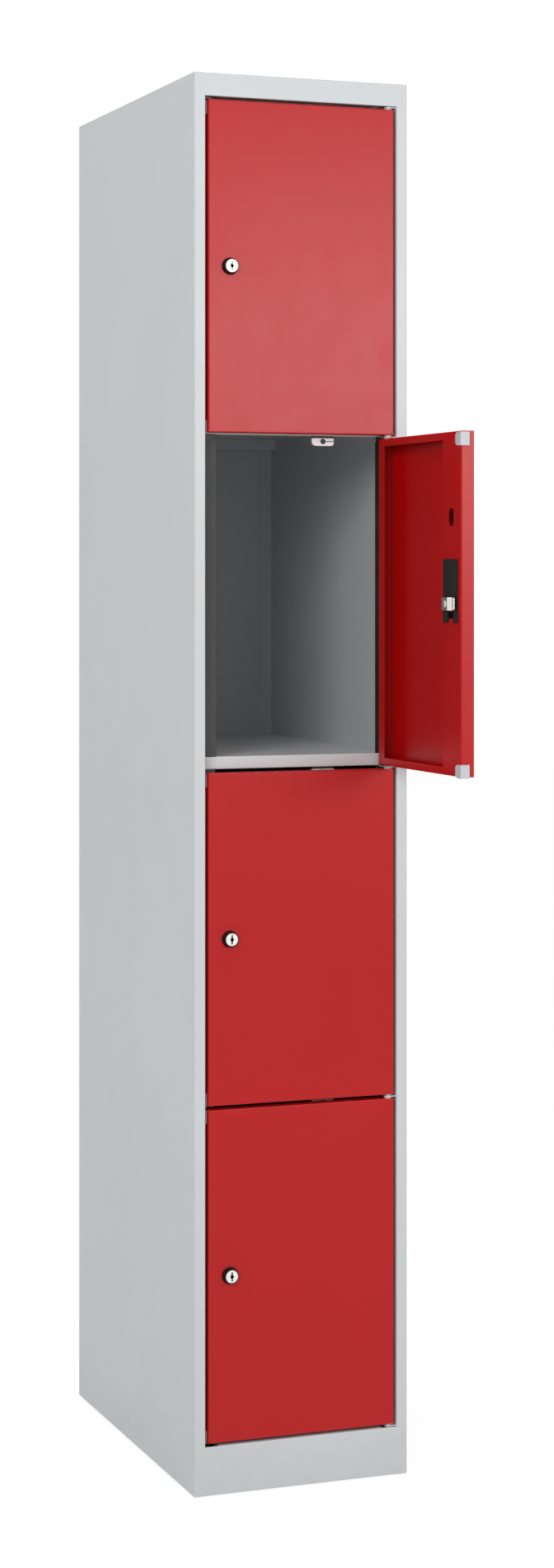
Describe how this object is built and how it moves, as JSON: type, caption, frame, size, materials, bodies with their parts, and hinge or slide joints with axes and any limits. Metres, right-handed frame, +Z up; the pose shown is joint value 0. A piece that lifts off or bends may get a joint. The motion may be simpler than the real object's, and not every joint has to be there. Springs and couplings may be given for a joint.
{
  "type": "compartment locker",
  "caption": "Tall narrow steel locker divided into stacked compartments, each with a hinged door and a cam lock, on levelling feet; one door stands open.",
  "frame": {"origin": "on the floor, below the middle of the cabinet's back", "axes": "+X to the right as one faces the doors (hinge side), +Y from the doors to the back, +Z up"},
  "size_m": [0.3, 0.7503, 1.85],
  "materials": {
    "grey_paint": "semi-gloss powder coat, light grey",
    "red_paint": "semi-gloss powder coat, deep red",
    "black_seal": "soft black",
    "zinc_steel": "zinc plated, satin",
    "nickel": "nickel plated, bright",
    "nickel_cam": "nickel plated, satin",
    "black_zinc": "black, gloss",
    "black_plastic": "black, moulded",
    "white_plastic": "white, moulded",
    "grey_plastic": "light grey, moulded",
    "foot_black": "black, moulded"
  },
  "bodies": {
    "cabinet": {"left_side_panel": "grey_paint", "right_side_panel": "grey_paint", "left_stop_strip": "grey_paint", "right_stop_strip": "grey_paint", "back_panel": "grey_paint", "roof_panel": "grey_paint", "header_rail": "grey_paint", "plinth_rail": "grey_paint", "ceiling_panel": "grey_paint", "shelf_1": "grey_paint", "shelf_2": "grey_paint", "shelf_3": "grey_paint", "floor_panel": "grey_paint", "hinge_side_seals": "black_seal", "lock_side_seals": "black_seal", "hinge_plates": "grey_paint", "hinge_pins": "zinc_steel", "compartment_clips": "white_plastic", "clip_studs": "black_plastic", "foot_brackets": "zinc_steel"},
    "door_1": {"door_1_skin": "red_paint", "door_1_lock_case": "black_plastic", "door_1_hinge_bushes": "white_plastic", "door_1_corner_bumpers": "grey_plastic", "door_1_lock_barrel": "black_zinc"},
    "lock_1": {"lock_1_plug": "nickel", "lock_1_cam": "nickel_cam", "lock_1_cam_screw": "zinc_steel"},
    "door_2": {"door_2_skin": "red_paint", "door_2_lock_case": "black_plastic", "door_2_hinge_bushes": "white_plastic", "door_2_corner_bumpers": "grey_plastic", "door_2_lock_barrel": "black_zinc"},
    "lock_2": {"lock_2_plug": "nickel", "lock_2_cam": "nickel_cam", "lock_2_cam_screw": "zinc_steel"},
    "door_3": {"door_3_skin": "red_paint", "door_3_lock_case": "black_plastic", "door_3_hinge_bushes": "white_plastic", "door_3_corner_bumpers": "grey_plastic", "door_3_lock_barrel": "black_zinc"},
    "lock_3": {"lock_3_plug": "nickel", "lock_3_cam": "nickel_cam", "lock_3_cam_screw": "zinc_steel"},
    "door_4": {"door_4_skin": "red_paint", "door_4_lock_case": "black_plastic", "door_4_hinge_bushes": "white_plastic", "door_4_corner_bumpers": "grey_plastic", "door_4_lock_barrel": "black_zinc"},
    "lock_4": {"lock_4_plug": "nickel", "lock_4_cam": "nickel_cam", "lock_4_cam_screw": "zinc_steel"},
    "foot_1": {"levelling_foot_1": "foot_black"},
    "foot_2": {"levelling_foot_2": "foot_black"},
    "foot_3": {"levelling_foot_3": "foot_black"},
    "foot_4": {"levelling_foot_4": "foot_black"}
  },
  "joints": [
    {"name": "door_1", "type": "hinge", "parent": "cabinet", "child": "door_1", "pos_m": [0.125, -0.493, 1.5995], "axis": [0, 0, 1], "range_deg": [0, 105]},
    {"name": "door_2", "type": "hinge", "parent": "cabinet", "child": "door_2", "pos_m": [0.125, -0.493, 1.1615], "axis": [0, 0, 1], "range_deg": [-90, 15]},
    {"name": "door_3", "type": "hinge", "parent": "cabinet", "child": "door_3", "pos_m": [0.125, -0.493, 0.7235], "axis": [0, 0, 1], "range_deg": [0, 105]},
    {"name": "door_4", "type": "hinge", "parent": "cabinet", "child": "door_4", "pos_m": [0.125, -0.493, 0.2855], "axis": [0, 0, 1], "range_deg": [0, 105]},
    {"name": "lock_1", "type": "hinge", "parent": "door_1", "child": "lock_1", "pos_m": [-0.101, -0.49, 1.5995], "axis": [0, -1, 0], "range_deg": [0, 180]},
    {"name": "lock_2", "type": "hinge", "parent": "door_2", "child": "lock_2", "pos_m": [0.122, -0.719, 1.1615], "axis": [1, 0, 0], "range_deg": [-180, 0]},
    {"name": "lock_3", "type": "hinge", "parent": "door_3", "child": "lock_3", "pos_m": [-0.101, -0.49, 0.7235], "axis": [0, -1, 0], "range_deg": [0, 180]},
    {"name": "lock_4", "type": "hinge", "parent": "door_4", "child": "lock_4", "pos_m": [-0.101, -0.49, 0.2855], "axis": [0, -1, 0], "range_deg": [0, 180]},
    {"name": "foot_1", "type": "slide", "parent": "cabinet", "child": "foot_1", "axis": [0, 0, -1], "range_m": [0, 0.012]},
    {"name": "foot_2", "type": "slide", "parent": "cabinet", "child": "foot_2", "axis": [0, 0, -1], "range_m": [0, 0.012]},
    {"name": "foot_3", "type": "slide", "parent": "cabinet", "child": "foot_3", "axis": [0, 0, -1], "range_m": [0, 0.012]},
    {"name": "foot_4", "type": "slide", "parent": "cabinet", "child": "foot_4", "axis": [0, 0, -1], "range_m": [0, 0.012]}
  ]
}
